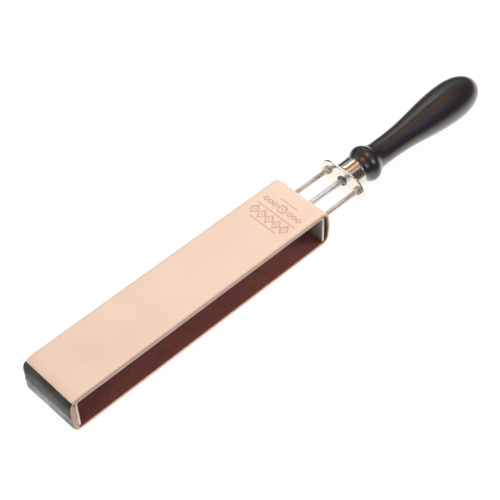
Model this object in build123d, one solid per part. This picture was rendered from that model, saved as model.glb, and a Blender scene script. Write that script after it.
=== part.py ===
"""Screw-tensioned leather paddle strop.

A bent aluminium bracket carries a loop of leather strap. Two guide rods join the
bracket to a yoke plate. The handle turns a spindle through the yoke, and the
spindle's thread draws a tension bar along the rods, so the bar pulls the end bend
of the loop towards the handle and tightens the leather.

Millimetres. +X runs from the closed far end of the strap to the tip of the handle,
+Y across the strap, +Z up. The origin is at the bottom centre of the whole strop.
Places along X are given as a distance from the strap's far end, through at().
"""
from build123d import *
import os

# Overall
OVERALL_LENGTH = 473.0
STRAP_WIDTH = 55.0
STRAP_HEIGHT = 35.5
AXIS_Z = STRAP_HEIGHT / 2
RUNNING = 0.05            # radial clearance of a shaft that turns or slides in a hole
SEAT = 0.02               # radial clearance of a rod or screw fixed in its hole
CUT_OVER = 1.0            # how far a cutting body reaches past the faces it cuts

# Leather
LEATHER = 2.9
STRAP_LENGTH = 265.5      # far end to the outside of the near bend
SPLIT = 249.0             # where the fixed run of leather ends and the moving bend starts
SPLIT_GAP = 0.3
BEND_SLACK = 0.3          # the moving bend's clearance from the bracket it slides over
LAP_THICKNESS = 5.4       # two skived layers over each other at the far end
LAP_STEP = 0.8            # height of the step where the outer layer ends
LAP_END_Z = AXIS_Z + 0.4  # where the outer layer ends on the far face
INNER_CORNER = 1.1        # bevel of the lower inner corner at the far end
FAR_SHOULDER = 17.0       # where the top face starts to fall towards the far end
FAR_PULL_TOP = 4.5        # how near the far end the top face's tangent reaches
FAR_PULL_DROP = 1.5       # how near the top the end face's tangent reaches
FAR_UPRIGHT_Z = 25.0
FAR_BOTTOM_RADIUS = 6.7
NEAR_TOP_RADIUS = 9.0
NEAR_BOTTOM_RADIUS = 8.0
NEAR_BULGE = 0.8          # how far the middle of the near bend stands beyond its corners
STRAP_ROD_HOLE = 5.2
STRAP_SPINDLE_HOLE = 6.4

# Bracket
BRACKET_THICKNESS = 2.0
BRACKET_WIDTH = 54.0
BRACKET_FAR = 5.7
BRACKET_NEAR = 259.2
BRACKET_FAR_RADIUS = 4.5
BRACKET_NEAR_RADIUS = 3.6
FAR_FLANGE_END_Z = 4.4
NEAR_FLANGE_END_Z = 3.7
FLANGE_TIP_RADIUS = 0.9

# Guide rods and yoke
ROD_DIAMETER = 4.0
ROD_SPACING = 34.0
TENON_DIAMETER = 3.0
TENON_HEAD_DIAMETER = 4.6
TENON_HEAD_DEPTH = 0.8
YOKE_FRONT = 307.5
YOKE_THICKNESS = 1.8
YOKE_LENGTH = 48.0
YOKE_HEIGHT = 25.0
YOKE_EDGE_RADIUS = 0.5
ROD_NUT_FLATS = 7.0
ROD_NUT_HEIGHT = 3.2
NUT_CHAMFER = 0.5

# Tension bar and its nut
BAR_FRONT = 260.2
BAR_THICKNESS = 1.8
BAR_LENGTH = 46.0
BAR_HEIGHT = 12.0
BAR_CORNER_RADIUS = 3.0
BAR_NUT_FRONT = 252.2
BAR_NUT_DIAMETER = 8.0
BAR_NUT_TENON_DIAMETER = 6.5
BAR_NUT_CLEARANCE = 0.5

# Spindle and its fastenings
SPINDLE_DIAMETER = 5.0
SPINDLE_TIP = 251.2
SPINDLE_TIP_CHAMFER = 0.6
SPINDLE_REAR = 372.0
RING_GAP = 0.15
RING_THICKNESS = 0.6
RING_DIAMETER = 9.3
RING_RIM_BORE = 7.7       # inside of the rim, between the prongs
RING_PRONG = 1.4          # width of the prong opposite the mouth
RING_END_DROP = 0.9       # how far below the axis the two end prongs start
RING_MOUTH = 3.4
RING_TURN = 38.0          # degrees from straight down to the mouth, towards +Y
RING_BORE = 4.1
GROOVE_DIAMETER = 4.0
GROOVE_PLAY = 0.05
SPINDLE_NUT_FLATS = 8.0
SPINDLE_NUT_HEIGHT = 4.0
SPINDLE_WASHER_DIAMETER = 10.0
SPINDLE_WASHER_THICKNESS = 1.0

# Ferrule and handle
FERRULE_DIAMETER = 25.8
FERRULE_GAP = 0.1         # running gap between the yoke plate and the ferrule's face
FERRULE_END_WALL = 2.4
FERRULE_WALL = 1.2
FERRULE_EDGE_RADIUS = 0.6
FERRULE_RIM = 1.0
FERRULE_RIM_PROUD = 0.45
FERRULE_RIM_SLOPE = 0.3   # length of the cone that leads up to the rim
HANDLE_FRONT = 323.4
HANDLE_SHOULDER_INSET = 0.3   # the wood starts this far inside the ferrule's surface
HANDLE_CLEARANCE = 0.01       # the widest part of the grip just clears the floor
HANDLE_POCKET_DIAMETER = 13.0
HANDLE_POCKET_DEPTH = 6.5
# Outlines of the turned wood: (distance from the strap's far end, radius)
HANDLE_BEAD = [
    (327.0, 12.75),
    (329.5, 13.75),
    (332.2, 15.35),
    (335.7, 16.15),
    (339.2, 15.15),
    (342.4, 13.1),
    (347.0, 11.75),
]
HANDLE_NECK = (354.0, 11.2)
HANDLE_GRIP = [
    (366.0, 11.32),
    (382.0, 12.15),
    (398.0, 14.05),
    (414.0, 16.15),
    (426.0, 17.25),
    (438.5, AXIS_Z - HANDLE_CLEARANCE),
    (449.0, 17.2),
    (457.0, 15.6),
    (464.0, 12.7),
    (469.5, 8.3),
]

# Places worked out from the sizes above
INNER_TOP_Z = STRAP_HEIGHT - LEATHER
BAR_REAR = BAR_FRONT + BAR_THICKNESS
YOKE_REAR = YOKE_FRONT + YOKE_THICKNESS
FERRULE_FRONT = YOKE_REAR + FERRULE_GAP
FERRULE_INSIDE = FERRULE_FRONT + FERRULE_END_WALL
ROD_ROWS = {"left": ROD_SPACING / 2, "right": -ROD_SPACING / 2}


def at(distance):
    """X of a place given by its distance from the strap's far end."""
    return distance - OVERALL_LENGTH / 2


def side_point(distance, z):
    """A point of a side outline, drawn on the XZ plane."""
    return (at(distance), z)


def across(outline, width):
    """A solid of the given width, centred on Y, from a closed side outline."""
    face = make_face(Plane.XZ * outline)
    return extrude(face, width / 2, both=True)


def rod_along_x(start, end, diameter, y=0.0):
    """A round bar on the spindle's height between two distances."""
    bar = Plane.YZ.offset(at(start)) * Pos(y, AXIS_Z) * Circle(diameter / 2)
    return extrude(bar, end - start)


def turned(points):
    """A solid of revolution about the spindle axis from (distance, radius) points."""
    outline = Polyline(*[side_point(d, AXIS_Z + r) for d, r in points], close=True)
    axis = Axis((0, 0, AXIS_Z), (1, 0, 0))
    return revolve(make_face(Plane.XZ * outline), axis)


def hex_nut(start, height, flats, bore, y=0.0):
    """A chamfered hexagon nut standing on the yoke's or washer's face."""
    plane = Plane.YZ.offset(at(start))
    corner_radius = flats / 3 ** 0.5
    prism = extrude(plane * Pos(y, AXIS_Z) * RegularPolygon(corner_radius, 6), height)
    crown = extrude(plane * Pos(y, AXIS_Z) * Circle(corner_radius), height)
    rims = crown.edges().filter_by(GeomType.CIRCLE)
    crown = chamfer(rims, NUT_CHAMFER)
    return (prism & crown) - rod_along_x(start - CUT_OVER, start + height + CUT_OVER, bore, y)


def far_end_outline():
    """Outer line of the strap round its far end, from the top shoulder to the bottom."""
    lower_top = side_point(LAP_STEP, LAP_END_Z - LAP_STEP)
    upper_bend = Bezier(
        side_point(FAR_SHOULDER, STRAP_HEIGHT),
        side_point(FAR_PULL_TOP, STRAP_HEIGHT),
        side_point(0, STRAP_HEIGHT - FAR_PULL_DROP),
        side_point(0, FAR_UPRIGHT_Z),
    )
    lap_end = Polyline(
        side_point(0, FAR_UPRIGHT_Z),
        side_point(0, LAP_END_Z),
        lower_top,
        side_point(LAP_STEP, FAR_BOTTOM_RADIUS),
    )
    centre = (at(LAP_STEP + FAR_BOTTOM_RADIUS), FAR_BOTTOM_RADIUS)
    bottom = CenterArc(centre, FAR_BOTTOM_RADIUS, 180, 90)
    return upper_bend + lap_end + bottom


def make_strap():
    """The fixed run of the leather loop: top span, lapped far end and bottom span."""
    inner_far = LAP_THICKNESS
    corner = BRACKET_FAR_RADIUS
    top_corner = CenterArc((at(inner_far + corner), INNER_TOP_Z - corner), corner, 90, 90)
    bottom_far = FAR_BOTTOM_RADIUS + LAP_STEP
    bottom_run = Polyline(
        side_point(inner_far, INNER_TOP_Z - corner),
        side_point(inner_far, LEATHER + INNER_CORNER),
        side_point(inner_far + INNER_CORNER, LEATHER),
        side_point(SPLIT, LEATHER),
        side_point(SPLIT, 0),
        side_point(bottom_far, 0),
    )
    top_run = Polyline(
        side_point(FAR_SHOULDER, STRAP_HEIGHT),
        side_point(SPLIT, STRAP_HEIGHT),
        side_point(SPLIT, INNER_TOP_Z),
        side_point(inner_far + corner, INNER_TOP_Z),
    )
    return across(far_end_outline() + bottom_run + top_corner + top_run, STRAP_WIDTH)


def near_bend(inset, start):
    """Half-loop face of the near bend, drawn in by inset from the leather's outside."""
    outside = STRAP_LENGTH - inset
    top = STRAP_HEIGHT - inset
    upper = NEAR_TOP_RADIUS - inset
    lower = NEAR_BOTTOM_RADIUS - inset
    flank = outside - NEAR_BULGE
    line = Polyline(
        side_point(flank - lower, inset),
        side_point(start, inset),
        side_point(start, top),
        side_point(flank - upper, top),
    )
    arcs = [
        CenterArc((at(flank - upper), top - upper), upper, 0, 90),
        ThreePointArc(
            side_point(flank, top - upper),
            side_point(outside, AXIS_Z),
            side_point(flank, inset + lower),
        ),
        CenterArc((at(flank - lower), inset + lower), lower, 270, 90),
    ]
    return line + arcs[0] + arcs[1] + arcs[2]


def make_strap_bend():
    """The near bend of the loop, which the tension bar carries with it."""
    start = SPLIT + SPLIT_GAP
    skin = LEATHER - BEND_SLACK
    bend = across(near_bend(0, start), STRAP_WIDTH)
    bend -= across(near_bend(skin, start - CUT_OVER), STRAP_WIDTH + 2 * CUT_OVER)
    holes = [rod_along_x(SPLIT, STRAP_LENGTH + CUT_OVER, STRAP_SPINDLE_HOLE)]
    for y in ROD_ROWS.values():
        holes.append(rod_along_x(SPLIT, STRAP_LENGTH + CUT_OVER, STRAP_ROD_HOLE, y))
    for hole in holes:
        bend -= hole
    return bend


def bracket_outline(inset, far_end_z, near_end_z):
    """Outer or inner line of the bracket, closed along its open bottom."""
    far = BRACKET_FAR + inset
    near = BRACKET_NEAR - inset
    top = INNER_TOP_Z - inset
    far_radius = BRACKET_FAR_RADIUS - inset
    near_radius = BRACKET_NEAR_RADIUS - inset
    far_arc = CenterArc((at(far + far_radius), top - far_radius), far_radius, 90, 90)
    near_arc = CenterArc((at(near - near_radius), top - near_radius), near_radius, 0, 90)
    rest = Polyline(
        side_point(far, top - far_radius),
        side_point(far, far_end_z),
        side_point(near, near_end_z),
        side_point(near, top - near_radius),
    )
    crown = Line(side_point(near - near_radius, top), side_point(far + far_radius, top))
    return far_arc + rest + near_arc + crown


def make_frame_bracket():
    """Aluminium strip with both ends bent down, under the strop's top face."""
    body = across(bracket_outline(0, FAR_FLANGE_END_Z, NEAR_FLANGE_END_Z), BRACKET_WIDTH)
    far_cut = FAR_FLANGE_END_Z - CUT_OVER
    near_cut = NEAR_FLANGE_END_Z - CUT_OVER
    inside = bracket_outline(BRACKET_THICKNESS, far_cut, near_cut)
    body -= across(inside, BRACKET_WIDTH + 2 * CUT_OVER)
    start = BRACKET_NEAR - BRACKET_THICKNESS - CUT_OVER
    end = BRACKET_NEAR + CUT_OVER
    body -= rod_along_x(start, end, BAR_NUT_DIAMETER + 2 * BAR_NUT_CLEARANCE)
    for y in ROD_ROWS.values():
        body -= rod_along_x(start, end, TENON_DIAMETER + 2 * SEAT, y)
        body -= tenon_head(y, SEAT)
    far_tips = body.edges().filter_by(Axis.Y).sort_by(Axis.Z)[:4]
    return fillet(far_tips.sort_by(Axis.X)[:2], FLANGE_TIP_RADIUS)


def tenon_head(y, grow=0.0):
    """Countersunk head of a rod's riveted tenon, flush with the flange's inner face."""
    face = at(BRACKET_NEAR - BRACKET_THICKNESS)
    wide = TENON_HEAD_DIAMETER / 2 + grow
    narrow = TENON_DIAMETER / 2 + grow
    cone = Cone(wide, narrow, TENON_HEAD_DEPTH, align=(Align.CENTER, Align.CENTER, Align.MIN))
    return Pos(face, y, AXIS_Z) * Rot(0, 90, 0) * cone


def make_guide_rod(y):
    """Rod with a riveted tenon at the flange and its other end screwed into the yoke."""
    rod = rod_along_x(BRACKET_NEAR, YOKE_REAR, ROD_DIAMETER, y)
    rod += rod_along_x(BRACKET_NEAR - BRACKET_THICKNESS, BRACKET_NEAR, TENON_DIAMETER, y)
    return rod + tenon_head(y)


def make_yoke_plate():
    """Polished plate with round ends that ties the rods and carries the spindle."""
    plane = Plane.YZ.offset(at(YOKE_FRONT))
    blank = plane * Pos(0, AXIS_Z) * SlotOverall(YOKE_LENGTH, YOKE_HEIGHT)
    plate = extrude(blank, YOKE_THICKNESS)
    plate = fillet(plate.edges(), YOKE_EDGE_RADIUS)
    start = YOKE_FRONT - CUT_OVER
    end = YOKE_REAR + CUT_OVER
    plate -= rod_along_x(start, end, SPINDLE_DIAMETER + 2 * RUNNING)
    for y in ROD_ROWS.values():
        plate -= rod_along_x(start, end, ROD_DIAMETER + 2 * SEAT, y)
    return plate


def make_yoke_nut(y):
    """Lock nut on a rod, against the strap side of the yoke plate."""
    start = YOKE_FRONT - ROD_NUT_HEIGHT
    return hex_nut(start, ROD_NUT_HEIGHT, ROD_NUT_FLATS, ROD_DIAMETER + 2 * SEAT, y)


def make_tension_bar():
    """Flat bar that slides on the guide rods inside the near bend."""
    plane = Plane.YZ.offset(at(BAR_FRONT))
    blank = plane * Pos(0, AXIS_Z) * RectangleRounded(BAR_LENGTH, BAR_HEIGHT, BAR_CORNER_RADIUS)
    bar = extrude(blank, BAR_THICKNESS)
    start = BAR_FRONT - CUT_OVER
    end = BAR_REAR + CUT_OVER
    bar -= rod_along_x(start, end, BAR_NUT_TENON_DIAMETER + 2 * SEAT)
    for y in ROD_ROWS.values():
        bar -= rod_along_x(start, end, ROD_DIAMETER + 2 * RUNNING, y)
    return bar


def make_bar_nut():
    """Round nut riveted into the bar, standing back through the bracket's flange."""
    nut = rod_along_x(BAR_NUT_FRONT, BAR_FRONT, BAR_NUT_DIAMETER)
    nut += rod_along_x(BAR_FRONT, BAR_REAR, BAR_NUT_TENON_DIAMETER)
    bore = SPINDLE_DIAMETER + 2 * RUNNING
    return nut - rod_along_x(BAR_NUT_FRONT - CUT_OVER, BAR_REAR + CUT_OVER, bore)


def make_spindle():
    """Screw spindle, from its tip in the bar nut to its tang inside the handle."""
    groove = ring_front() - GROOVE_PLAY
    spindle = rod_along_x(SPINDLE_TIP, SPINDLE_REAR, SPINDLE_DIAMETER)
    tip = spindle.edges().filter_by(GeomType.CIRCLE).sort_by(Axis.X)[0]
    spindle = chamfer(tip, SPINDLE_TIP_CHAMFER)
    groove_end = groove + RING_THICKNESS + 2 * GROOVE_PLAY
    band = rod_along_x(groove, groove_end, SPINDLE_DIAMETER + CUT_OVER)
    band -= rod_along_x(groove, groove_end, GROOVE_DIAMETER)
    return spindle - band


def ring_front():
    """Distance of the retaining ring's strap-side face from the far end."""
    return YOKE_FRONT - RING_GAP - RING_THICKNESS


def make_retaining_ring():
    """Three-pronged spring ring in the spindle's groove, on the strap side of the yoke."""
    front = ring_front()
    rear = front + RING_THICKNESS
    ring = rod_along_x(front, rear, RING_DIAMETER) - rod_along_x(front, rear, RING_BORE)
    centre = Pos(at((front + rear) / 2), 0, AXIS_Z)
    size = RING_DIAMETER
    window = rod_along_x(front, rear, RING_RIM_BORE)
    window -= centre * Pos(0, 0, size / 2) * Box(size, RING_PRONG, size)
    window -= centre * Pos(0, 0, -RING_END_DROP - size / 2) * Box(size, size, size)
    mouth = centre * Pos(0, 0, -size / 2) * Box(size, RING_MOUTH, size)
    upright = ring - window - mouth
    return Pos(0, 0, AXIS_Z) * Rot(RING_TURN, 0, 0) * Pos(0, 0, -AXIS_Z) * upright


def make_ferrule():
    """Nickel-plated cup over the handle's tenon; its closed end bears on the yoke."""
    outer = FERRULE_DIAMETER / 2
    inner = outer - FERRULE_WALL
    rim_start = HANDLE_FRONT - FERRULE_RIM
    cup = turned([
        (FERRULE_FRONT, SPINDLE_DIAMETER / 2 + SEAT),
        (FERRULE_FRONT, outer - FERRULE_EDGE_RADIUS),
        (FERRULE_FRONT + FERRULE_EDGE_RADIUS, outer),
        (rim_start, outer),
        (rim_start + FERRULE_RIM_SLOPE, outer + FERRULE_RIM_PROUD),
        (HANDLE_FRONT, outer + FERRULE_RIM_PROUD),
        (HANDLE_FRONT, inner),
        (FERRULE_INSIDE, inner),
        (FERRULE_INSIDE, SPINDLE_DIAMETER / 2 + SEAT),
    ])
    return cup


def make_spindle_washer():
    """Washer between the ferrule's end wall and the spindle nut."""
    end = FERRULE_INSIDE + SPINDLE_WASHER_THICKNESS
    washer = rod_along_x(FERRULE_INSIDE, end, SPINDLE_WASHER_DIAMETER)
    bore = SPINDLE_DIAMETER + 2 * SEAT
    return washer - rod_along_x(FERRULE_INSIDE - CUT_OVER, end + CUT_OVER, bore)


def make_spindle_nut():
    """Nut that takes the spindle's pull onto the ferrule, in the handle's pocket."""
    start = FERRULE_INSIDE + SPINDLE_WASHER_THICKNESS
    bore = SPINDLE_DIAMETER + 2 * SEAT
    return hex_nut(start, SPINDLE_NUT_HEIGHT, SPINDLE_NUT_FLATS, bore)


def make_handle():
    """Turned wooden handle: tenon, bead, neck and pear-shaped grip."""
    tenon = FERRULE_DIAMETER / 2 - FERRULE_WALL - SEAT
    shoulder = FERRULE_DIAMETER / 2 - HANDLE_SHOULDER_INSET
    pocket = FERRULE_INSIDE + HANDLE_POCKET_DEPTH
    bore = SPINDLE_DIAMETER / 2 + SEAT
    front = [
        (SPINDLE_REAR, 0),
        (SPINDLE_REAR, bore),
        (pocket, bore),
        (pocket, HANDLE_POCKET_DIAMETER / 2),
        (FERRULE_INSIDE, HANDLE_POCKET_DIAMETER / 2),
        (FERRULE_INSIDE, tenon),
        (HANDLE_FRONT, tenon),
        (HANDLE_FRONT, shoulder),
    ]
    front_line = Polyline(*[side_point(d, AXIS_Z + r) for d, r in front])
    shoulder_end = side_point(HANDLE_FRONT, AXIS_Z + shoulder)
    bead_points = [side_point(d, AXIS_Z + r) for d, r in HANDLE_BEAD]
    neck = side_point(HANDLE_NECK[0], AXIS_Z + HANDLE_NECK[1])
    grip_points = [side_point(d, AXIS_Z + r) for d, r in HANDLE_GRIP]
    tip = side_point(OVERALL_LENGTH, AXIS_Z)
    bead = Spline(shoulder_end, *bead_points, neck, tangents=[(1, 0), (1, 0)])
    grip = Spline(neck, *grip_points, tip, tangents=[(1, 0), (0, -1)])
    closing = Line(tip, side_point(SPINDLE_REAR, AXIS_Z))
    outline = make_face(Plane.XZ * (front_line + bead + grip + closing))
    return revolve(outline, Axis((0, 0, AXIS_Z), (1, 0, 0)))


def all_parts():
    """Every sub-part by its node name."""
    parts = {
        "frame_bracket": make_frame_bracket(),
        "strap": make_strap(),
        "yoke_plate": make_yoke_plate(),
        "tension_bar": make_tension_bar(),
        "bar_nut": make_bar_nut(),
        "strap_bend": make_strap_bend(),
        "spindle": make_spindle(),
        "retaining_ring": make_retaining_ring(),
        "ferrule": make_ferrule(),
        "spindle_washer": make_spindle_washer(),
        "spindle_nut": make_spindle_nut(),
        "handle": make_handle(),
    }
    for side, y in ROD_ROWS.items():
        parts["guide_rod_" + side] = make_guide_rod(y)
        parts["yoke_nut_" + side] = make_yoke_nut(y)
    return parts


os.makedirs("parts", exist_ok=True)
for name, shape in all_parts().items():
    export_step(shape, "parts/" + name + ".step")
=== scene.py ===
"""Looks of the screw-tensioned leather paddle strop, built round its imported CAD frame.

What a CAD piece's box gives is read from the frame. Other sizes are named below: as
metres with MM, or as plain millimetres where a heading says so. Places along the strop
are distances from the strap's far end, and at() turns them into X.
"""

import math

import bmesh
import bpy
import numpy as np
from mathutils import Matrix, Vector, noise


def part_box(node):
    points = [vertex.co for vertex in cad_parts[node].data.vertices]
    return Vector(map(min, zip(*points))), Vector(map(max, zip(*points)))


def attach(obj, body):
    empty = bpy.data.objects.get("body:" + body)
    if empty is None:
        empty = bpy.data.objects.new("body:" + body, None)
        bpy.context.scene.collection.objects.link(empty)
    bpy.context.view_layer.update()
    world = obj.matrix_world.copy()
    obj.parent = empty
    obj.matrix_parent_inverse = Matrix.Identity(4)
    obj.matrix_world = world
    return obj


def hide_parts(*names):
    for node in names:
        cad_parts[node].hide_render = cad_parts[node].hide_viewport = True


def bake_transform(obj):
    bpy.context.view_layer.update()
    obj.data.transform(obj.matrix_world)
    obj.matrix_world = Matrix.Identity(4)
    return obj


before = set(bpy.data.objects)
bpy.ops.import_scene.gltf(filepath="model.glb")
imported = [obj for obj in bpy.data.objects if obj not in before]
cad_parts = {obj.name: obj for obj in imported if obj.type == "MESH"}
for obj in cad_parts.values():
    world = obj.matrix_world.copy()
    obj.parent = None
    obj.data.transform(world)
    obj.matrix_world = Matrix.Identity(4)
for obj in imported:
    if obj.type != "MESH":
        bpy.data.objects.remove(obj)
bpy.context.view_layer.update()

MM = 0.001

# ------------------------------------------------------------ sizes read from the frame
strap_low, strap_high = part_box("strap")
bend_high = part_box("strap_bend")[1]
spindle_low, spindle_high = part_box("spindle")
ring_low, ring_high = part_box("retaining_ring")
ferrule_low, ferrule_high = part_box("ferrule")
handle_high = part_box("handle")[1]
rod_low, rod_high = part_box("guide_rod_left")

FAR_X = strap_low.x
STRAP_LENGTH = bend_high.x - FAR_X
WIDTH = strap_high.y - strap_low.y
HEIGHT = strap_high.z - strap_low.z
AXIS_Z = (spindle_low.z + spindle_high.z) / 2
ROD_Y = (rod_low.y + rod_high.y) / 2

# ------------------------------------------------------------ leather
LEATHER = 2.9 * MM
STEP_Z = AXIS_Z + 0.4 * MM           # notch at mid height, where the outer layer ends
STEP_INSET = 0.2 * MM                # the outer layer is pressed in this far at its end
LAP_FILL = 5.35 * MM                 # both layers together reach this far in
LAP_END_THICKNESS = 2.5 * MM         # the outer layer's end
TAPER_START_Z = AXIS_Z + 5.0 * MM    # the outer layer is full thickness above this
TONGUE_TOP_Z = AXIS_Z + 13.0 * MM    # how far up the inner layer's skived end reaches
TONGUE_TIP = 0.4 * MM                # its thickness there
LAP_GAP = 0.03 * MM                  # between the two layers
NOTCH_DEPTH = 1.7 * MM               # how far the lower layer's shoulder slopes down
SHOULDER = 17.0 * MM                 # the flat top ends this far from the far end
PULL_TOP = 4.5 * MM                  # control point of the far bend, in line with the top
PULL_DROP = 1.5 * MM                 # and one on the far face, this far below the top
UPRIGHT_Z = AXIS_Z + 7.25 * MM       # the far face is upright below this
LOWER_INSET = 0.8 * MM               # the lower layer stands back from the upper one
NOTCH_INSET = 0.25 * MM              # and by this much more right below the notch
FAR_SIDE_PROUD = 0.9 * MM            # but towards +Y it comes out again by this much
BOTTOM_RADIUS = 6.7 * MM
NEAR_TOP_RADIUS = 9.0 * MM
NEAR_BOTTOM_RADIUS = 8.0 * MM
NEAR_BULGE = 0.8 * MM
BLACK_LINE_DROP = 2.0 * MM           # black starts this far below the top face
ROLL_SHARE = 0.3                     # the rolled part is this share of the thickness
EDGE_PAINTED_SHADE = 1.7 * MM                 # the grain is painted darker this far from an edge, as shade where it rolls over
EDGE_SECTION = [                     # inset in millimetres, share of the depth, surface
    (2.4, 0.0, "grain"), (1.7, 0.02, "grain"), (1.1, 0.055, "grain"), (0.6, 0.11, "grain"),
    (0.25, 0.18, "grain"), (0.05, 0.27, "edge"), (0.0, 0.42, "edge"), (0.0, 0.66, "edge"),
    (0.0, 0.84, "stained"), (0.04, 0.96, "stained")]
EDGE_ROUND = EDGE_SECTION[0][0] * MM     # width of the roll at each edge
FLESH_INSET = 0.16 * MM              # the flesh side is this much narrower at each edge
ROD_HOLE = 4.6 * MM
SPINDLE_HOLE = 5.6 * MM
DENT_DEPTH = 0.16 * MM               # of the black end
DENT_SCALES = (90, 260)              # noise cells in a metre: large dents, small dents
EDGE_WAVER = 0.05 * MM               # the cut edge wavers by this much
EDGE_WAVER_SCALE = 300
UNDERSIDE_Z = 0.6 * MM               # the black underside reaches up to here
FLANK_X = STRAP_LENGTH - NEAR_BULGE
TOP_RUN_END = FLANK_X - NEAR_TOP_RADIUS

# The order of the leather's materials on its mesh.
LEATHER_SLOTS = {"grain": 0, "black": 1, "edge": 2, "stained": 3, "flesh": 4, "painted_shading": 5}

# ------------------------------------------------------------ rows of the leather's mesh
TONGUE_ROWS = 14
LOWER_FACE_ROWS = 14
LOWER_CORNER_ROWS = 14
UNDERSIDE_ROWS = 100
NEAR_LOWER_CORNER_ROWS = 16
FLANK_ROWS = 36
NEAR_UPPER_CORNER_ROWS = 18
FAR_BEND_ROWS = 30
FAR_FACE_ROWS = 12
FLESH_COLUMNS = 16
FINE_STEP = 0.26 * MM                # over the ornament
COARSE_STEP = 2.2 * MM               # along the rest of the top run
SIDE_STEP = 0.8 * MM                 # across the strap beside the ornament

# ------------------------------------------------------------ pressed ornament
# Plain numbers are millimetres. Places along count from the near end of the top run.
MARK_DEPTH = 0.40 * MM
MARK_START = 6.0 * MM
MARK_END = 42.0 * MM
MARK_HALF_WIDTH = 22.0 * MM
MARK_LINE = 0.62                     # half width of a pressed line
RULE_LINE = 0.7 * MARK_LINE
RULES = ((9.0, 9.0), (24.0, 20.0), (38.5, 14.0))     # place along, half length
LOZENGE_PLACE = 31.2
LOZENGE_COUNT = 5
LOZENGE_PITCH = 8.2
LOZENGE_REACH = (4.6, 3.4)           # half length along and across
LOZENGE_LINE = 2.7                   # millimetres that one unit of reach stands for
LOZENGE_DOT = 0.8
FLOWER_PLACE = 16.6
PETAL_RADII = (2.9, 1.3)             # between the petals, and how far they reach further
PETALS = 8
FLOWER_DOT = 0.9
RING_START = 8.2                     # first ring beside the flower
RING_PITCH = 4.8
RINGS_A_SIDE = 3
RING_RADIUS = 1.7
MARK_SOFTNESS = 0.4                  # width of a pressed line's slope

# ------------------------------------------------------------ turned parts
# All in millimetres. Outlines are (distance from the strap's far end, radius).
FERRULE_WALL = 1.2
FERRULE_FLOOR = 2.4
FERRULE_EDGE = 0.6                   # radius of its front edge
FERRULE_RIM = 1.2
FERRULE_RIM_PROUD = 0.45
RIM_FULLNESS = 0.7                   # under one, the rolled rim is fuller than an arc
FERRULE_STEPS = 6                    # mesh rows of the front edge, and of the wall
RIM_STEPS = 10
BORE_CLEARANCE = 0.02
TENON_CLEARANCE = 0.05
BEAD_START_RADIUS = 12.6
BEAD_OUTLINE = [(327.0, 12.75), (329.5, 13.75), (332.2, 15.35), (335.7, 16.15),
                (339.2, 15.15), (342.4, 13.1), (347.0, 11.75), (354.0, 11.2)]
GRIP_OUTLINE = [(366.0, 11.32), (382.0, 12.15), (398.0, 14.05), (414.0, 16.15),
                (426.0, 17.25), (438.5, 17.74), (449.0, 17.2), (457.0, 15.6),
                (464.0, 12.7), (469.5, 8.3)]
THREAD_PITCH = 0.8
THREAD_DEPTH = 0.378
THREAD_END = 265.6
THREAD_LEAD_IN = 1.0                 # the thread deepens over this length at the tip
THREAD_RUNOUT = 2.0                  # and fades out over this length at its end
THREAD_ROWS = 8                      # mesh rows in one pitch
SPINDLE_CHAMFER = 0.6
GROOVE_DEPTH = 0.5
GROOVE_CLEARANCE = 0.05


def at(distance):
    """X of a place given in millimetres from the strap's far end."""
    return FAR_X + distance * MM


def distance_of(x):
    """Millimetres from the strap's far end."""
    return (x - FAR_X) / MM


def smooth(t):
    """0 to 1 with flat ends."""
    t = min(max(t, 0.0), 1.0)
    return t * t * (3 - 2 * t)


def lerp(first, second, share):
    """A value that lies share of the way from the first to the second."""
    return first + (second - first) * share


# ============================================================ material helpers
def new_material(name):
    """A node material, its Principled shader and its tree."""
    material = bpy.data.materials.new(name)
    material.use_nodes = True
    tree = material.node_tree
    return material, tree.nodes["Principled BSDF"], tree


def add(tree, kind, **settings):
    """A new node with the named input values set."""
    node = tree.nodes.new(kind)
    for key, value in settings.items():
        node.inputs[key].default_value = value
    return node


def object_coords(tree, scale=(1, 1, 1)):
    """Object coordinates stretched by scale, so a pattern can run along one axis."""
    coords = tree.nodes.new("ShaderNodeTexCoord")
    mapping = add(tree, "ShaderNodeMapping", Scale=scale)
    tree.links.new(coords.outputs["Object"], mapping.inputs["Vector"])
    return mapping.outputs["Vector"]


def across_strap(tree):
    """How far a point lies from the strop's middle plane."""
    split = tree.nodes.new("ShaderNodeSeparateXYZ")
    tree.links.new(object_coords(tree), split.inputs["Vector"])
    distance = tree.nodes.new("ShaderNodeMath")
    distance.operation = "ABSOLUTE"
    tree.links.new(split.outputs["Y"], distance.inputs[0])
    return distance.outputs["Value"]


def noise_value(tree, vector, scale, detail=4.0, rough=0.5, distort=0.0):
    """Value of a noise texture."""
    node = add(tree, "ShaderNodeTexNoise", Scale=scale, Detail=detail, Roughness=rough,
               Distortion=distort)
    tree.links.new(vector, node.inputs["Vector"])
    return node.outputs["Fac"]


def ramp(tree, value, stops):
    """Colour ramp from (position, colour) stops."""
    node = tree.nodes.new("ShaderNodeValToRGB")
    elements = node.color_ramp.elements
    while len(elements) < len(stops):
        elements.new(0.5)
    for element, (position, colour) in zip(elements, stops):
        element.position = position
        element.color = (*colour, 1.0)
    tree.links.new(value, node.inputs["Fac"])
    return node.outputs["Color"]


def value_range(tree, value, low, high, from_low=0.0, from_high=1.0):
    """A value mapped onto low to high, clamped at both ends."""
    node = tree.nodes.new("ShaderNodeMapRange")
    for key, number in (("From Min", from_low), ("From Max", from_high),
                        ("To Min", low), ("To Max", high)):
        node.inputs[key].default_value = number
    tree.links.new(value, node.inputs["Value"])
    return node.outputs["Result"]


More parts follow.
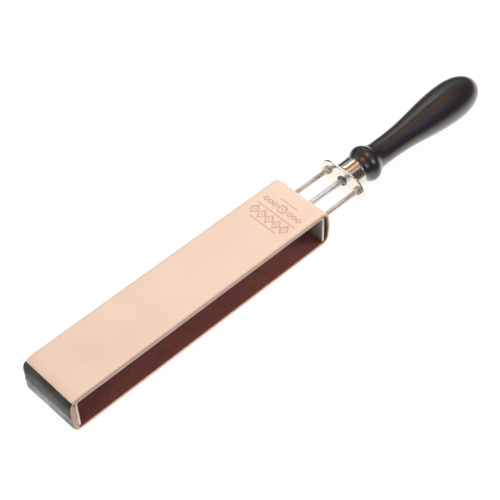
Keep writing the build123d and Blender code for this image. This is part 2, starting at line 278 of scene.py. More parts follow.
def mix_colour(tree, factor, first, second):
    """Mix two colours, each a socket or a plain colour, by a socket."""
    node = tree.nodes.new("ShaderNodeMix")
    node.data_type = "RGBA"
    tree.links.new(factor, node.inputs[0])
    for socket, item in ((node.inputs[6], first), (node.inputs[7], second)):
        if isinstance(item, tuple):
            socket.default_value = (*item, 1.0)
        else:
            tree.links.new(item, socket)
    return node.outputs[2]


def bump(tree, shader, height, strength, distance, under=None):
    """Relief on a shader from a height value, on top of another relief if given."""
    node = add(tree, "ShaderNodeBump", Strength=strength, Distance=distance)
    tree.links.new(height, node.inputs["Height"])
    if under is not None:
        tree.links.new(under, node.inputs["Normal"])
    tree.links.new(node.outputs["Normal"], shader.inputs["Normal"])
    return node.outputs["Normal"]


# ============================================================ materials
def grain_leather():
    """Vegetable-tanned grain side: pale pinkish tan, faint clouds, pores and creases."""
    material, shader, tree = new_material("leather_grain")
    vector = object_coords(tree)
    clouds = noise_value(tree, vector, 24.0, 5.0, 0.55)
    colour = ramp(tree, clouds, [(0.25, (0.745, 0.565, 0.470)), (0.5, (0.775, 0.600, 0.500)),
                                 (0.78, (0.795, 0.632, 0.530))])
    specks = noise_value(tree, vector, 800.0, 3.0, 0.6)
    specks = value_range(tree, specks, 0.0, 0.25, 0.56, 0.75)
    colour = mix_colour(tree, specks, colour, (0.70, 0.45, 0.32))
    # Pressed lines are darker: partly the burnished colour of pressed leather, partly painted
    # shade in the grooves.
    pressed = tree.nodes.new("ShaderNodeAttribute")
    pressed.attribute_name = "pressed"
    darkening = value_range(tree, pressed.outputs["Fac"], 0.0, 0.62)
    colour = mix_colour(tree, darkening, colour, (0.55, 0.27, 0.17))
    # Painted shade: the grain darkens towards both edges, where its face rolls over.
    half = WIDTH / 2
    painted_shading = value_range(tree, across_strap(tree), 0.0, 0.55, half - EDGE_PAINTED_SHADE, half)
    colour = mix_colour(tree, painted_shading, colour, (0.46, 0.28, 0.19))
    tree.links.new(colour, shader.inputs["Base Color"])
    tree.links.new(value_range(tree, clouds, 0.50, 0.62), shader.inputs["Roughness"])
    pores = add(tree, "ShaderNodeTexVoronoi", Scale=1400.0)
    tree.links.new(vector, pores.inputs["Vector"])
    fine = bump(tree, shader, pores.outputs["Distance"], 0.10, 0.00004)
    creases = noise_value(tree, vector, 300.0, 6.0, 0.6, 0.6)
    bump(tree, shader, creases, 0.12, 0.00012, fine)
    shader.inputs["Specular IOR Level"].default_value = 0.35
    return material


def black_leather(name, dark, middle, scuffed, rough, gloss):
    """Black dressed leather with a dull polish, creases and greyish scuffs."""
    material, shader, tree = new_material(name)
    cloud = noise_value(tree, object_coords(tree, (1.0, 0.5, 1.0)), 130.0, 6.0, 0.65, 0.5)
    colour = ramp(tree, cloud, [(0.3, dark), (0.55, middle), (0.78, scuffed)])
    tree.links.new(colour, shader.inputs["Base Color"])
    tree.links.new(value_range(tree, cloud, *rough), shader.inputs["Roughness"])
    creases = noise_value(tree, object_coords(tree), 420.0, 6.0, 0.6, 0.8)
    bump(tree, shader, creases, 0.3, 0.0002)
    shader.inputs["Specular IOR Level"].default_value = gloss
    return material


def cut_edge(name, dark, middle, light, scale):
    """Raw cut edge of the leather: fine tangled fibres."""
    material, shader, tree = new_material(name)
    fibres = noise_value(tree, object_coords(tree), scale, 6.0, 0.7)
    colour = ramp(tree, fibres, [(0.28, dark), (0.5, middle), (0.75, light)])
    tree.links.new(colour, shader.inputs["Base Color"])
    tree.links.new(value_range(tree, fibres, 0.7, 0.85), shader.inputs["Roughness"])
    bump(tree, shader, fibres, 0.35, 0.0002)
    return material


def flesh_leather():
    """Flesh side, stained maroon, with a short suede nap."""
    material, shader, tree = new_material("leather_flesh")
    vector = object_coords(tree)
    nap = noise_value(tree, vector, 650.0, 4.0, 0.72)
    cloud = noise_value(tree, vector, 60.0, 5.0, 0.6)
    colour = ramp(tree, nap, [(0.3, (0.12, 0.024, 0.019)), (0.5, (0.21, 0.048, 0.038)),
                              (0.72, (0.37, 0.110, 0.088))])
    clouded = value_range(tree, cloud, 0.0, 0.5, 0.4, 0.72)
    colour = mix_colour(tree, clouded, colour, (0.13, 0.030, 0.026))
    tree.links.new(colour, shader.inputs["Base Color"])
    tree.links.new(value_range(tree, nap, 0.65, 0.85), shader.inputs["Roughness"])
    shader.inputs["Sheen Weight"].default_value = 0.25
    shader.inputs["Sheen Roughness"].default_value = 0.5
    bump(tree, shader, nap, 0.6, 0.0003)
    return material


def drawn_metal(name, dark, light, rough, stretch, depth, metallic=1.0, edge=(1, 1, 1)):
    """Metal with fine marks and a little tarnish.

    A small factor in stretch draws the marks out along that axis. A metallic share under
    one gives the milky look of thin satin plating, and edge is the tint of the plating
    where it is seen edge on.
    """
    material, shader, tree = new_material(name)
    lines = noise_value(tree, object_coords(tree, stretch), 700.0, 5.0, 0.6)
    tarnish = noise_value(tree, object_coords(tree), 45.0, 4.0, 0.6)
    colour = ramp(tree, tarnish, [(0.3, dark), (0.65, light)])
    tree.links.new(colour, shader.inputs["Base Color"])
    tree.links.new(value_range(tree, lines, *rough), shader.inputs["Roughness"])
    shader.inputs["Metallic"].default_value = metallic
    shader.inputs["Specular Tint"].default_value = (*edge, 1.0)
    bump(tree, shader, lines, depth, 0.00005)
    return material


def lacquered_wood():
    """Black lacquer over turned wood: pores along the grain and faint turning lines."""
    material, shader, tree = new_material("black_lacquer")
    pores = noise_value(tree, object_coords(tree, (0.35, 1.0, 1.0)), 620.0, 5.0, 0.68)
    turning = noise_value(tree, object_coords(tree, (1.0, 0.02, 0.02)), 500.0, 3.0, 0.5)
    cloud = noise_value(tree, object_coords(tree), 30.0, 4.0, 0.6)
    colour = ramp(tree, pores, [(0.3, (0.003, 0.0028, 0.0045)), (0.7, (0.013, 0.011, 0.017))])
    tree.links.new(colour, shader.inputs["Base Color"])
    tree.links.new(value_range(tree, cloud, 0.27, 0.36), shader.inputs["Roughness"])
    shader.inputs["Coat Weight"].default_value = 1.0
    shader.inputs["Coat Roughness"].default_value = 0.26
    under = bump(tree, shader, pores, 0.55, 0.00035)
    bump(tree, shader, turning, 0.05, 0.0001, under)
    return material


GRAIN = grain_leather()
BLACK = black_leather("leather_black", (0.026, 0.024, 0.026), (0.062, 0.059, 0.061),
                      (0.13, 0.125, 0.127), (0.40, 0.60), 0.2)
# A lighter copy of the black leather: painted light on the far face below the notch.
BLACK_PAINTED_LIGHT = black_leather("leather_black_painted_light", (0.14, 0.14, 0.142), (0.34, 0.34, 0.343),
                     (0.60, 0.60, 0.602), (0.50, 0.66), 0.25)
EDGE = cut_edge("leather_cut_edge", (0.50, 0.29, 0.19), (0.65, 0.43, 0.31),
                (0.77, 0.55, 0.42), 900.0)
STAINED = cut_edge("leather_stained_edge", (0.20, 0.085, 0.055), (0.32, 0.16, 0.11),
                   (0.44, 0.25, 0.18), 900.0)
FLESH = flesh_leather()
NICKEL = drawn_metal("nickel_plate", (0.68, 0.63, 0.57), (0.80, 0.76, 0.70),
                     (0.08, 0.16), (1, 1, 1), 0.04)
ROD_STEEL = drawn_metal("satin_nickel", (0.75, 0.66, 0.62), (0.83, 0.75, 0.71),
                        (0.09, 0.16), (0.05, 1, 1), 0.05, 0.72, (0.12, 0.09, 0.08))
ZINC = drawn_metal("zinc_plate", (0.74, 0.81, 0.85), (0.82, 0.88, 0.92),
                   (0.10, 0.18), (0.05, 1, 1), 0.06, 0.70, (0.12, 0.18, 0.21))
NUT_PLATE = drawn_metal("bright_plate", (0.80, 0.78, 0.75), (0.90, 0.88, 0.86),
                        (0.10, 0.20), (1, 1, 1), 0.05, 0.55)
ALUMINIUM = drawn_metal("aluminium_strip", (0.50, 0.49, 0.48), (0.66, 0.65, 0.64),
                        (0.42, 0.60), (0.05, 1, 1), 0.2)
BRASS = drawn_metal("turned_brass", (0.60, 0.42, 0.18), (0.78, 0.60, 0.30),
                    (0.20, 0.34), (1, 0.1, 0.1), 0.1)
BLACK_STEEL = drawn_metal("black_oxide", (0.17, 0.16, 0.16), (0.29, 0.28, 0.28),
                          (0.28, 0.42), (1, 1, 1), 0.1, 0.65)
LACQUER = lacquered_wood()


# ============================================================ mesh helpers
def link(name, mesh, *materials):
    """A scene object from a mesh, with its materials in order."""
    for material in materials:
        mesh.materials.append(material)
    piece = bpy.data.objects.new(name, mesh)
    bpy.context.scene.collection.objects.link(piece)
    return piece


def shade(mesh, sharp_above=35):
    """Smooth shading that keeps real corners crisp."""
    mesh.polygons.foreach_set("use_smooth", [True] * len(mesh.polygons))
    mesh.set_sharp_from_angle(angle=math.radians(sharp_above))


def mesh_of(name, points, faces):
    """A mesh with its normals turned outward."""
    mesh = bpy.data.meshes.new(name)
    mesh.from_pydata([tuple(p) for p in points], [], faces)
    work = bmesh.new()
    work.from_mesh(mesh)
    bmesh.ops.recalc_face_normals(work, faces=work.faces)
    work.to_mesh(mesh)
    work.free()
    return mesh


def finish_piece(piece, body, slot, *nodes):
    """Put a piece on its body and hide the CAD nodes it stands for. Its slot is not used."""
    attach(piece, body)
    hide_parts(*nodes)


def softened(node, body, slot, material, corner):
    """A CAD node's own shape with its machined corners broken by a small radius."""
    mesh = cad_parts[node].data.copy()
    mesh.materials.clear()
    work = bmesh.new()
    work.from_mesh(mesh)
    bmesh.ops.remove_doubles(work, verts=work.verts, dist=0.001 * MM)
    bmesh.ops.dissolve_limit(work, angle_limit=math.radians(0.3), verts=work.verts,
                             edges=work.edges)
    work.to_mesh(mesh)
    work.free()
    piece = link(node + "_finished", mesh, material)
    bevel = piece.modifiers.new("corners", "BEVEL")
    bevel.width = corner
    bevel.segments = 2
    bevel.limit_method = "ANGLE"
    bevel.angle_limit = math.radians(32)
    bpy.context.view_layer.update()
    evaluated = piece.evaluated_get(bpy.context.evaluated_depsgraph_get())
    piece.data = bpy.data.meshes.new_from_object(evaluated)
    piece.modifiers.clear()
    shade(piece.data)
    finish_piece(piece, body, slot, node)


def turned(name, stations, segments, radius_at=None):
    """A closed surface of revolution about the spindle axis.

    stations are (x, radius) pairs in metres round a closed outline; a radius of zero
    closes the surface with a point. radius_at may vary the radius with the angle.
    """
    points, rings = [], []
    for x, radius in stations:
        if radius <= 0:
            rings.append([len(points)])
            points.append((x, 0.0, AXIS_Z))
            continue
        ring = []
        for i in range(segments):
            angle = 2 * math.pi * i / segments
            r = radius_at(x, radius, angle) if radius_at else radius
            ring.append(len(points))
            points.append((x, r * math.sin(angle), AXIS_Z + r * math.cos(angle)))
        rings.append(ring)
    faces = []
    closed = len(rings[0]) > 1 and len(rings[-1]) > 1
    pairs = list(zip(rings, rings[1:])) + ([(rings[-1], rings[0])] if closed else [])
    for first, second in pairs:
        for i in range(segments):
            k = (i + 1) % segments
            if len(first) == 1:
                faces.append((first[0], second[k], second[i]))
            elif len(second) == 1:
                faces.append((first[i], first[k], second[0]))
            else:
                faces.append((first[i], first[k], second[k], second[i]))
    return mesh_of(name, points, faces)


def flowing(points, per_span, start_slope=None, end_slope=None):
    """Points of a smooth curve through the given ones, by Hermite spans."""
    line = np.array(points, float)
    chord = np.linalg.norm(np.diff(line, axis=0), axis=1)
    slopes = np.zeros_like(line)
    for i in range(1, len(line) - 1):
        before = (line[i] - line[i - 1]) / chord[i - 1]
        after = (line[i + 1] - line[i]) / chord[i]
        slopes[i] = (before * chord[i] + after * chord[i - 1]) / (chord[i - 1] + chord[i])
    ends = ((0, start_slope, line[1] - line[0]), (-1, end_slope, line[-1] - line[-2]))
    for index, given, secant in ends:
        direction = np.array(given, float) if given else secant
        slopes[index] = direction / np.linalg.norm(direction)
    result = [tuple(line[0])]
    for i, length in enumerate(chord):
        for step in range(1, per_span + 1):
            t = step / per_span
            h = (2 * t ** 3 - 3 * t ** 2 + 1, t ** 3 - 2 * t ** 2 + t,
                 3 * t ** 2 - 2 * t ** 3, t ** 3 - t ** 2)
            point = (h[0] * line[i] + h[1] * slopes[i] * length
                     + h[2] * line[i + 1] + h[3] * slopes[i + 1] * length)
            result.append(tuple(point))
    return result


# ============================================================ leather loop
class Station:
    """A place along the leather: a point of its outer face, its thickness and dents.

    roll is the share of the usual rounding that the edges of the outer face have there.
    """

    def __init__(self, x, z, thickness=LEATHER, dents=0.0, roll=1.0):
        self.x = FAR_X + x
        self.z = z
        self.thickness = thickness
        self.dents = dents
        self.roll = roll


def outer_lap_thickness(z):
    """Thickness of the outer layer on the far face, which thins towards its end."""
    share = (z - STEP_Z) / (TAPER_START_Z - STEP_Z)
    return lerp(LAP_END_THICKNESS, LEATHER, smooth(share))


def tongue_stations():
    """The inner layer's skived end, hidden behind the outer layer, from its tip down."""
    stations = []
    for i in range(TONGUE_ROWS):
        share = i / TONGUE_ROWS
        z = lerp(TONGUE_TOP_Z, STEP_Z, share)
        x = outer_lap_thickness(z) + LAP_GAP
        thickness = lerp(TONGUE_TIP, LAP_FILL - x, smooth(share * 6))
        stations.append(Station(x, z, thickness, roll=0.0))
    return stations


def lower_layer_stations():
    """The far face below the notch, set back a little, and the lower corner."""
    stations = []
    top_z = STEP_Z - NOTCH_DEPTH
    for i in range(LOWER_FACE_ROWS + 1):
        share = i / LOWER_FACE_ROWS
        x = LOWER_INSET + NOTCH_INSET * (1 - smooth(share * 4))
        z = lerp(top_z, BOTTOM_RADIUS, share)
        stations.append(Station(x, z, LAP_FILL - x, 1.0, smooth(share * 2)))
    for i in range(1, LOWER_CORNER_ROWS + 1):
        share = i / LOWER_CORNER_ROWS
        angle = math.radians(180 + 90 * share)
        x = LOWER_INSET + BOTTOM_RADIUS + BOTTOM_RADIUS * math.cos(angle)
        z = BOTTOM_RADIUS + BOTTOM_RADIUS * math.sin(angle)
        thickness = lerp(LAP_FILL - LOWER_INSET, LEATHER, smooth(share))
        stations.append(Station(x, z, thickness, 1 - share))
    return stations


def near_bend_stations():
    """Lower corner, bulging flank and upper corner of the near bend."""
    stations = []
    for i in range(1, NEAR_LOWER_CORNER_ROWS + 1):
        angle = math.radians(-90 + 90 * i / NEAR_LOWER_CORNER_ROWS)
        stations.append(Station(FLANK_X - NEAR_BOTTOM_RADIUS * (1 - math.cos(angle)),
                                NEAR_BOTTOM_RADIUS * (1 + math.sin(angle))))
    top_z = HEIGHT - NEAR_TOP_RADIUS
    for i in range(1, FLANK_ROWS):
        share = i / FLANK_ROWS
        bulge = NEAR_BULGE * math.sin(math.pi * share)
        stations.append(Station(FLANK_X + bulge, lerp(NEAR_BOTTOM_RADIUS, top_z, share)))
    for i in range(NEAR_UPPER_CORNER_ROWS + 1):
        angle = math.radians(90 * i / NEAR_UPPER_CORNER_ROWS)
        stations.append(Station(FLANK_X - NEAR_TOP_RADIUS * (1 - math.cos(angle)),
                                top_z + NEAR_TOP_RADIUS * math.sin(angle)))
    return stations


def far_bend_stations():
    """The easy cubic curve from the top round to the far face, then down to the notch."""
    controls = [(SHOULDER, HEIGHT), (PULL_TOP, HEIGHT), (0.0, HEIGHT - PULL_DROP),
                (0.0, UPRIGHT_Z)]
    stations = []
    for i in range(1, FAR_BEND_ROWS + 1):
        t = i / FAR_BEND_ROWS
        weights = [(1 - t) ** 3, 3 * t * (1 - t) ** 2, 3 * t * t * (1 - t), t ** 3]
        x = sum(w * p[0] for w, p in zip(weights, controls))
        z = sum(w * p[1] for w, p in zip(weights, controls))
        stations.append(Station(x, z, outer_lap_thickness(z), smooth(t * 2 - 1)))
    for i in range(1, FAR_FACE_ROWS + 1):
        share = i / FAR_FACE_ROWS
        z = lerp(UPRIGHT_Z, STEP_Z, share)
        stations.append(Station(STEP_INSET * share, z, outer_lap_thickness(z), 1.0))
    return stations


def top_run_places():
    """Distances along the top run: fine over the ornament, coarse elsewhere."""
    places = []
    x = TOP_RUN_END
    while x > SHOULDER:
        from_end = TOP_RUN_END - x
        over_ornament = MARK_START - MM < from_end < MARK_END + MM
        x = max(x - (FINE_STEP if over_ornament else COARSE_STEP), SHOULDER)
        places.append(x)
    return places


def loop_stations():
    """All stations of the strip, from the hidden thin end round to the notch."""
    stations = tongue_stations() + lower_layer_stations()
    start = LOWER_INSET + BOTTOM_RADIUS
    end = FLANK_X - NEAR_BOTTOM_RADIUS
    for i in range(1, UNDERSIDE_ROWS + 1):
        stations.append(Station(lerp(start, end, i / UNDERSIDE_ROWS), 0.0))
    stations += near_bend_stations()
    stations += [Station(x, HEIGHT) for x in top_run_places()]
    return stations + far_bend_stations()


def ring_profile():
    """Places round the strip's section: (across, depth share, kind of surface).

    The grain face rolls down towards both edges, the cut edge stands upright, and the
    last of it carries the flesh side's stain. The face's first point belongs to the roll.
    """
    half = WIDTH / 2
    flat = half - EDGE_ROUND
    face = []
    across = -flat
    while across < flat - 0.5 * FINE_STEP:
        face.append((across, 0.0, "grain"))
        across += FINE_STEP if abs(across) < MARK_HALF_WIDTH else SIDE_STEP
    roll = [(half - inset * MM, share, kind) for inset, share, kind in EDGE_SECTION]
    inner = half - FLESH_INSET
    under = [(lerp(inner, -inner, i / FLESH_COLUMNS), 1.0, "flesh")
             for i in range(FLESH_COLUMNS)]
    far_side = [(-across, share, kind) for across, share, kind in reversed(roll)]
    return face[1:] + roll + under + [(-inner, 1.0, "stained")] + far_side


def ornament(along, across):
    """How strongly a point of the top face is pressed in, 0 to 1, from millimetres.

    A plain border of rules, a row of lozenges, rings and a small flower.
    """
    gaps = []
    for place, half_length in RULES:
        over = max(abs(across) - half_length, 0.0)
        gaps.append(math.hypot(along - place, over) - RULE_LINE)
    from_row = along - LOZENGE_PLACE
    for i in range(LOZENGE_COUNT):
        from_centre = across - (i - (LOZENGE_COUNT - 1) / 2) * LOZENGE_PITCH
        reach = abs(from_row) / LOZENGE_REACH[0] + abs(from_centre) / LOZENGE_REACH[1]
        gaps.append(abs(reach - 1.0) * LOZENGE_LINE - MARK_LINE)
        gaps.append(math.hypot(from_row, from_centre) - LOZENGE_DOT)
    from_row = along - FLOWER_PLACE
    radius = math.hypot(from_row, across)
    angle = math.atan2(from_row, across)
    petal = PETAL_RADII[0] + PETAL_RADII[1] * abs(math.cos(PETALS / 2 * angle))
    gaps.append(abs(radius - petal) - MARK_LINE)
    gaps.append(radius - FLOWER_DOT)
    for side in (-1, 1):
        for i in range(RINGS_A_SIDE):
            centre = side * (RING_START + RING_PITCH * i)
            ring = math.hypot(from_row, across - centre)
            gaps.append(abs(ring - RING_RADIUS) - MARK_LINE)
    return smooth(0.5 - min(gaps) / MARK_SOFTNESS)


def pressed_at(x, y):
    """The ornament's strength at a place of the top run."""
    along = (TOP_RUN_END - (x - FAR_X)) / MM
    if not MARK_START / MM < along < MARK_END / MM or abs(y) > MARK_HALF_WIDTH:
        return 0.0
    return ornament(along, y / MM)


def strip_points(stations, ring):
    """Every mesh point of the strip, station by station."""
    line = np.array([(s.x, s.z) for s in stations])
    tangent = np.gradient(line, axis=0)
    tangent /= np.linalg.norm(tangent, axis=1)[:, None]
    points = []
    for station, (tx, tz) in zip(stations, tangent):
        on_top = station.z == HEIGHT
        for across, share, kind in ring:
            depth = station.thickness * share
            if share < ROLL_SHARE:
                depth = min(LEATHER, station.thickness) * share * station.roll
            if on_top and kind == "grain" and share == 0.0:
                depth += MARK_DEPTH * pressed_at(station.x, across)
            place = Vector((station.x, across, station.z))
            if station.dents and share < 0.5:
                large, small = (noise.noise(place * scale) for scale in DENT_SCALES)
                depth += DENT_DEPTH * station.dents * (1 + large + 0.5 * small)
                if station.z < STEP_Z:
                    depth -= FAR_SIDE_PROUD * station.dents * smooth(across / WIDTH + 0.5)
            y = across
            if kind in ("edge", "stained"):
                waver = EDGE_WAVER * (1 + noise.noise(place * EDGE_WAVER_SCALE))
                y -= math.copysign(waver, across)
            points.append((station.x - tz * depth, y, station.z + tx * depth))
    return points


def strip_faces(stations, ring):
    """Quads between the stations and the material slot of each."""
    black_z = HEIGHT - BLACK_LINE_DROP
    size = len(ring)
    faces, slots = [], []
    for i, (first, second) in enumerate(zip(stations, stations[1:])):
        middle_x = (first.x + second.x) / 2 - FAR_X
        middle_z = (first.z + second.z) / 2
        far_face = middle_x < SHOULDER and middle_z < black_z
        underside = middle_z < UNDERSIDE_Z and middle_x < TOP_RUN_END
        grain = "black" if far_face or underside else "grain"
        # Below the notch the far face takes the lighter copy of the black leather: painted
        # light.
        if far_face and middle_z < STEP_Z:
            grain = "painted_shading"
        for j in range(size):
            k = (j + 1) % size
            a, b = i * size + j, i * size + k
            faces.append((a, b, b + size, a + size))
            kind = ring[j][2]
            if kind == "grain":
                kind = grain
            elif kind == "stained" and middle_x < TOP_RUN_END:
                kind = "edge"        # the stain shows only round the near bend
            slots.append(LEATHER_SLOTS[kind])
    last = (len(stations) - 1) * size
    faces.append(tuple(range(size)))
    faces.append(tuple(range(last + size - 1, last - 1, -1)))
    return faces, slots + [LEATHER_SLOTS["stained"], LEATHER_SLOTS["edge"]]


def drill(piece, holes):
    """Cut round holes along X through a piece: (y, diameter) each, at axis height."""
    cutter_mesh = bpy.data.meshes.new("cutter")
    work = bmesh.new()
    for y, diameter in holes:
        place = Matrix.Translation((FAR_X + FLANK_X, y, AXIS_Z)) @ Matrix.Rotation(
            math.pi / 2, 4, "Y")
        bmesh.ops.create_cone(work, cap_ends=True, segments=40, radius1=diameter / 2,
                              radius2=diameter / 2, depth=3 * LEATHER, matrix=place)
    work.to_mesh(cutter_mesh)
    work.free()
    cutter = link("cutter", cutter_mesh, EDGE)
    cut = piece.modifiers.new("holes", "BOOLEAN")
    cut.object = cutter
    cut.solver = "EXACT"
    cut.material_mode = "TRANSFER"
    bpy.context.view_layer.update()
    evaluated = piece.evaluated_get(bpy.context.evaluated_depsgraph_get())
    piece.data = bpy.data.meshes.new_from_object(evaluated)
    piece.modifiers.clear()
    bpy.data.objects.remove(cutter)
    bpy.data.meshes.remove(cutter_mesh)


def make_leather():
    """The whole leather loop as one strip, lapped at the far end."""
    stations = loop_stations()
    ring = ring_profile()
    faces, slots = strip_faces(stations, ring)
    mesh = mesh_of("leather_loop", strip_points(stations, ring), faces)
    mesh.polygons.foreach_set("material_index", slots)
    loop = link("leather_loop", mesh, GRAIN, BLACK, EDGE, STAINED, FLESH, BLACK_PAINTED_LIGHT)
    drill(loop, [(-ROD_Y, ROD_HOLE), (0.0, SPINDLE_HOLE), (ROD_Y, ROD_HOLE)])
    shade(loop.data, sharp_above=50)
    pressed = loop.data.attributes.new("pressed", "FLOAT", "POINT")
    strengths = []
    for vertex in loop.data.vertices:
        x, y, z = vertex.co
        strengths.append(pressed_at(x, y) if z > HEIGHT - 2 * MARK_DEPTH else 0.0)
    pressed.data.foreach_set("value", strengths)
    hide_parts("strap", "strap_bend")
    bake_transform(loop)


# ============================================================ turned parts
def make_ferrule():
    """Nickel cup with rounded front edge and a rolled rim against the wood."""
    front, rear = distance_of(ferrule_low.x), distance_of(ferrule_high.x)
    outer = (ferrule_high.z - AXIS_Z) / MM - FERRULE_RIM_PROUD
    inner = outer - FERRULE_WALL
    bore = (spindle_high.z - AXIS_Z) / MM + BORE_CLEARANCE
    outline = [(front, bore), (front, outer - FERRULE_EDGE)]
    for i in range(1, FERRULE_STEPS + 1):
        angle = math.radians(90 * i / FERRULE_STEPS)
        outline.append((front + FERRULE_EDGE * (1 - math.cos(angle)),
                        outer - FERRULE_EDGE * (1 - math.sin(angle))))
    rim = rear - FERRULE_RIM
    outline += [(lerp(front + FERRULE_EDGE, rim, i / FERRULE_STEPS), outer)
                for i in range(1, FERRULE_STEPS + 1)]
    for i in range(1, RIM_STEPS + 1):
        angle = math.pi * i / RIM_STEPS
        outline.append((rim + FERRULE_RIM * (1 - math.cos(angle)) / 2,
                        outer + FERRULE_RIM_PROUD * math.sin(angle) ** RIM_FULLNESS))
    floor = front + FERRULE_FLOOR
    outline += [(rear, inner), (floor, inner), (floor, bore)]
    mesh = turned("ferrule_cup", [(at(s), r * MM) for s, r in outline], segments=128)
    shade(mesh)
    finish_piece(link("ferrule_cup", mesh, NICKEL), "handle", "nickel", "ferrule")


def make_handle():
    """Turned handle: tenon end, bead, neck, belly and tip in one smooth outline."""
    front = distance_of(ferrule_high.x)
    inside = (ferrule_high.z - AXIS_Z) / MM - FERRULE_RIM_PROUD - FERRULE_WALL
    bead = flowing([(front, BEAD_START_RADIUS)] + BEAD_OUTLINE, 10, (1, 0), (1, 0))
    tip = (distance_of(handle_high.x), 0.0)
    grip = flowing([BEAD_OUTLINE[-1]] + GRIP_OUTLINE + [tip], 12, (1, 0), (0, -1))
    tenon_end = distance_of(ferrule_low.x) + FERRULE_FLOOR + TENON_CLEARANCE
    tenon_radius = inside - TENON_CLEARANCE
    outline = [(tenon_end, 0.0), (tenon_end, tenon_radius), (front, tenon_radius)]
    outline += bead + grip[1:]
    stations = [(at(s), max(r, 0) * MM) for s, r in outline]
    mesh = turned("turned_handle", stations, segments=144)
    shade(mesh)
    finish_piece(link("turned_handle", mesh, LACQUER), "handle", "black_wood", "handle")


def thread_radius(x, radius, angle):
    """Radius of the spindle: a V thread at its tip end, plain beyond."""
    place = distance_of(x)
    lead_in = smooth((place - distance_of(spindle_low.x)) / THREAD_LEAD_IN)
    runout = smooth((THREAD_END - place) / THREAD_RUNOUT)
    phase = (place / THREAD_PITCH + angle / (2 * math.pi)) % 1.0
    return radius - THREAD_DEPTH * MM * lead_in * runout * (1 - abs(2 * phase - 1))


def make_spindle():
    """Screw spindle: threaded tip, plain shank and the ring's groove."""
    radius = (spindle_high.z - AXIS_Z) / MM
    start, end = distance_of(spindle_low.x), distance_of(spindle_high.x)
    groove_start = distance_of(ring_low.x) - GROOVE_CLEARANCE
    groove_end = distance_of(ring_high.x) + GROOVE_CLEARANCE
    groove_radius = radius - GROOVE_DEPTH
    outline = [(start, 0.0), (start, radius - SPINDLE_CHAMFER),
               (start + SPINDLE_CHAMFER, radius)]
    row = THREAD_PITCH / THREAD_ROWS
    place = start + SPINDLE_CHAMFER + row
    while place < THREAD_END:
        outline.append((place, radius))
        place += row
    outline += [(place + THREAD_RUNOUT, radius), (groove_start, radius),
                (groove_start, groove_radius), (groove_end, groove_radius),
                (groove_end, radius), (end, radius), (end, 0.0)]
    stations = [(at(s), r * MM) for s, r in outline]
    mesh = turned("spindle_screw", stations, segments=48, radius_at=thread_radius)
    shade(mesh, sharp_above=45)
    finish_piece(link("spindle_screw", mesh, ZINC), "handle", "zinc_steel", "spindle")


# ============================================================ camera and studio
CAMERA_TARGET = Vector((-34.3 * MM, -1.1 * MM, AXIS_Z))
CAMERA_AZIMUTH = 41.48               # degrees from +Y towards +X that the camera looks
CAMERA_ELEVATION = 48.59
CAMERA_ROLL = 2.91
CAMERA_DISTANCE = 1.0992
CAMERA_LENS = 100.42
SENSOR_WIDTH = 36.0

FLOOR_HALF = 6.0
FLOOR_DROP = 0.3 * MM                # keeps it clear of the underside
GLOW_FULL = 0.042                    # full glow nearer the strop's middle plane than this
GLOW_END = 0.115                     # and only the dim glow beyond this
BRIGHT_GLOW = (1.25, 1.23, 1.18)
DIM_GLOW = (0.22, 0.18, 0.17)

# Name, place, size, power, colour and whether it shows only as a reflection.
LAMPS = [
    ("key", (0.12, 0.25, 1.35), (0.9, 0.7), 13.6, (0.99, 0.99, 1.0), False),
    ("fill", (0.52, -0.46, 0.34), (0.3, 0.3), 3.4, (1.0, 0.98, 0.96), False),
    ("side", (-0.95, -0.25, 0.45), (0.4, 0.4), 1.5, (0.96, 0.97, 1.0), False),
    ("window", (0.72, 0.78, 1.02), (0.40, 0.30), 0.64, (0.86, 0.97, 1.0), True),
    ("warm", (0.62, -0.02, 1.0), (0.28, 0.26), 0.21, (1.0, 0.58, 0.33), True),
    ("cool", (0.60, -0.52, 0.95), (0.40, 0.40), 0.28, (0.70, 0.67, 0.95), True),
    ("warm_spot", (-0.04, 0.02, 1.05), (0.34, 0.34), 2.1, (1.0, 0.47, 0.27), True),
    ("cool_spot", (0.06, -0.80, 0.66), (0.34, 0.34), 2.4, (0.66, 0.70, 1.0), True),
]


def make_camera():
    """Long-lens view from above the far end's near corner, rolled slightly."""
    azimuth = math.radians(CAMERA_AZIMUTH)
    elevation = math.radians(CAMERA_ELEVATION)
    look = Vector((math.sin(azimuth) * math.cos(elevation),
                   math.cos(azimuth) * math.cos(elevation), -math.sin(elevation)))
    right = look.cross(Vector((0, 0, 1))).normalized()
    up = right.cross(look)
    roll = math.radians(CAMERA_ROLL)
    rolled_up = up * math.cos(roll) + right * math.sin(roll)
    rolled_right = look.cross(rolled_up)
    data = bpy.data.cameras.new("camera")
    data.sensor_width = SENSOR_WIDTH
    data.lens = CAMERA_LENS
    camera = bpy.data.objects.new("camera", data)
    axes = Matrix((rolled_right, rolled_up, -look)).transposed().to_4x4()
    camera.matrix_world = Matrix.Translation(CAMERA_TARGET - look * CAMERA_DISTANCE) @ axes
    bpy.context.scene.collection.objects.link(camera)
    bpy.context.scene.camera = camera


def area_light(name, place, size, power, colour, mirrored):
    """A soft lamp that faces the strop. A mirrored one only glints, others only light."""
    data = bpy.data.lights.new(name, "AREA")
    data.shape = "RECTANGLE"
    data.size, data.size_y = size
    data.energy = power
    data.color = colour
    lamp = bpy.data.objects.new(name, data)
    lamp.location = place
    lamp.rotation_euler = (-Vector(place)).to_track_quat("-Z", "Y").to_euler()
    lamp.visible_camera = False
    lamp.visible_glossy = mirrored
    lamp.visible_diffuse = not mirrored
    bpy.context.scene.collection.objects.link(lamp)


def seen_by_camera(tree, seen, hidden, output):
    """Show one shader to the camera and another to everything else."""
    path = tree.nodes.new("ShaderNodeLightPath")
    chosen = tree.nodes.new("ShaderNodeMixShader")
    tree.links.new(path.outputs["Is Camera Ray"], chosen.inputs["Fac"])
    tree.links.new(hidden, chosen.inputs[1])
    tree.links.new(seen, chosen.inputs[2])
    tree.links.new(chosen.outputs["Shader"], output.inputs["Surface"])


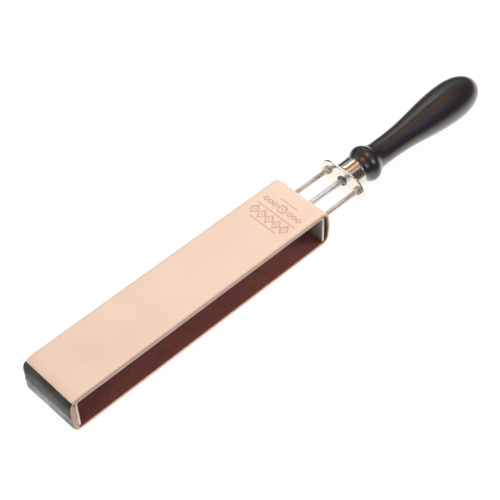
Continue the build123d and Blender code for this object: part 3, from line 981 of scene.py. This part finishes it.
def make_floor():
    """White table to the camera. To everything else it glows near the strop, then fades."""
    corners = [(x * FLOOR_HALF, y * FLOOR_HALF, 0)
               for x, y in ((-1, -1), (1, -1), (1, 1), (-1, 1))]
    mesh = mesh_of("floor", corners, [(0, 1, 2, 3)])
    material, shader, tree = new_material("floor")
    shader.inputs["Base Color"].default_value = (0.16, 0.16, 0.16, 1)
    shader.inputs["Roughness"].default_value = 0.9
    shader.inputs["Specular IOR Level"].default_value = 0.0
    shader.inputs["Emission Color"].default_value = (1, 1, 1, 1)
    shader.inputs["Emission Strength"].default_value = 0.90
    glow = tree.nodes.new("ShaderNodeEmission")
    near = value_range(tree, across_strap(tree), 1.0, 0.0, GLOW_FULL, GLOW_END)
    tree.links.new(mix_colour(tree, near, DIM_GLOW, BRIGHT_GLOW), glow.inputs["Color"])
    seen_by_camera(tree, shader.outputs["BSDF"], glow.outputs["Emission"],
                   tree.nodes["Material Output"])
    floor = link("floor", mesh, material)
    floor.location.z = -FLOOR_DROP


def make_room():
    """A dim warm room, grey-green behind the strop; the camera sees plain white instead."""
    world = bpy.data.worlds.new("room")
    world.use_nodes = True
    tree = world.node_tree
    seen = tree.nodes["Background"]
    seen.inputs["Color"].default_value = (1, 1, 1, 1)
    coords = tree.nodes.new("ShaderNodeTexCoord")
    split = tree.nodes.new("ShaderNodeSeparateXYZ")
    tree.links.new(coords.outputs["Generated"], split.inputs["Vector"])
    side = value_range(tree, split.outputs["Y"], 0.0, 1.0, -0.15, 0.55)
    height = ramp(tree, split.outputs["Z"], [
        (0.0, (0.05, 0.04, 0.036)), (0.22, (0.06, 0.05, 0.045)), (0.34, (0.50, 0.52, 0.46)),
        (0.66, (0.42, 0.45, 0.40)), (0.82, (0.42, 0.30, 0.15)), (1.0, (0.40, 0.27, 0.13))])
    front = ramp(tree, split.outputs["Z"], [
        (0.0, (0.10, 0.075, 0.080)), (0.6, (0.12, 0.090, 0.095)), (0.86, (0.38, 0.26, 0.13))])
    around = tree.nodes.new("ShaderNodeBackground")
    tree.links.new(mix_colour(tree, side, front, height), around.inputs["Color"])
    seen_by_camera(tree, seen.outputs["Background"], around.outputs["Background"],
                   tree.nodes["World Output"])
    bpy.context.scene.world = world


def make_studio():
    """Floor, room and lamps, with plain display colours."""
    make_floor()
    make_room()
    for lamp in LAMPS:
        area_light(*lamp)
    bpy.context.scene.view_settings.view_transform = "Standard"


# ============================================================ assembly
make_camera()
make_leather()
make_ferrule()
make_handle()
make_spindle()

# CAD node, body, name of its finish, material and corner radius in millimetres.
SOFTENED = [
    ("frame_bracket", "frame", "bracket_aluminium", ALUMINIUM, 0.18),
    ("yoke_plate", "frame", "nickel", NICKEL, 0.12),
    ("guide_rod_left", "frame", "nickel", ROD_STEEL, 0.12),
    ("guide_rod_right", "frame", "nickel", ROD_STEEL, 0.12),
    ("yoke_nut_left", "frame", "nickel", NUT_PLATE, 0.12),
    ("yoke_nut_right", "frame", "nickel", NUT_PLATE, 0.12),
    ("tension_bar", "tension_bar", "zinc_steel", ZINC, 0.15),
    ("bar_nut", "tension_bar", "brass_nut", BRASS, 0.15),
    ("spindle_nut", "handle", "zinc_steel", ZINC, 0.12),
    ("spindle_washer", "handle", "zinc_steel", ZINC, 0.12),
    ("retaining_ring", "handle", "black_steel", BLACK_STEEL, 0.06),
]
for node, body, slot, material, corner in SOFTENED:
    softened(node, body, slot, material, corner * MM)

make_studio()
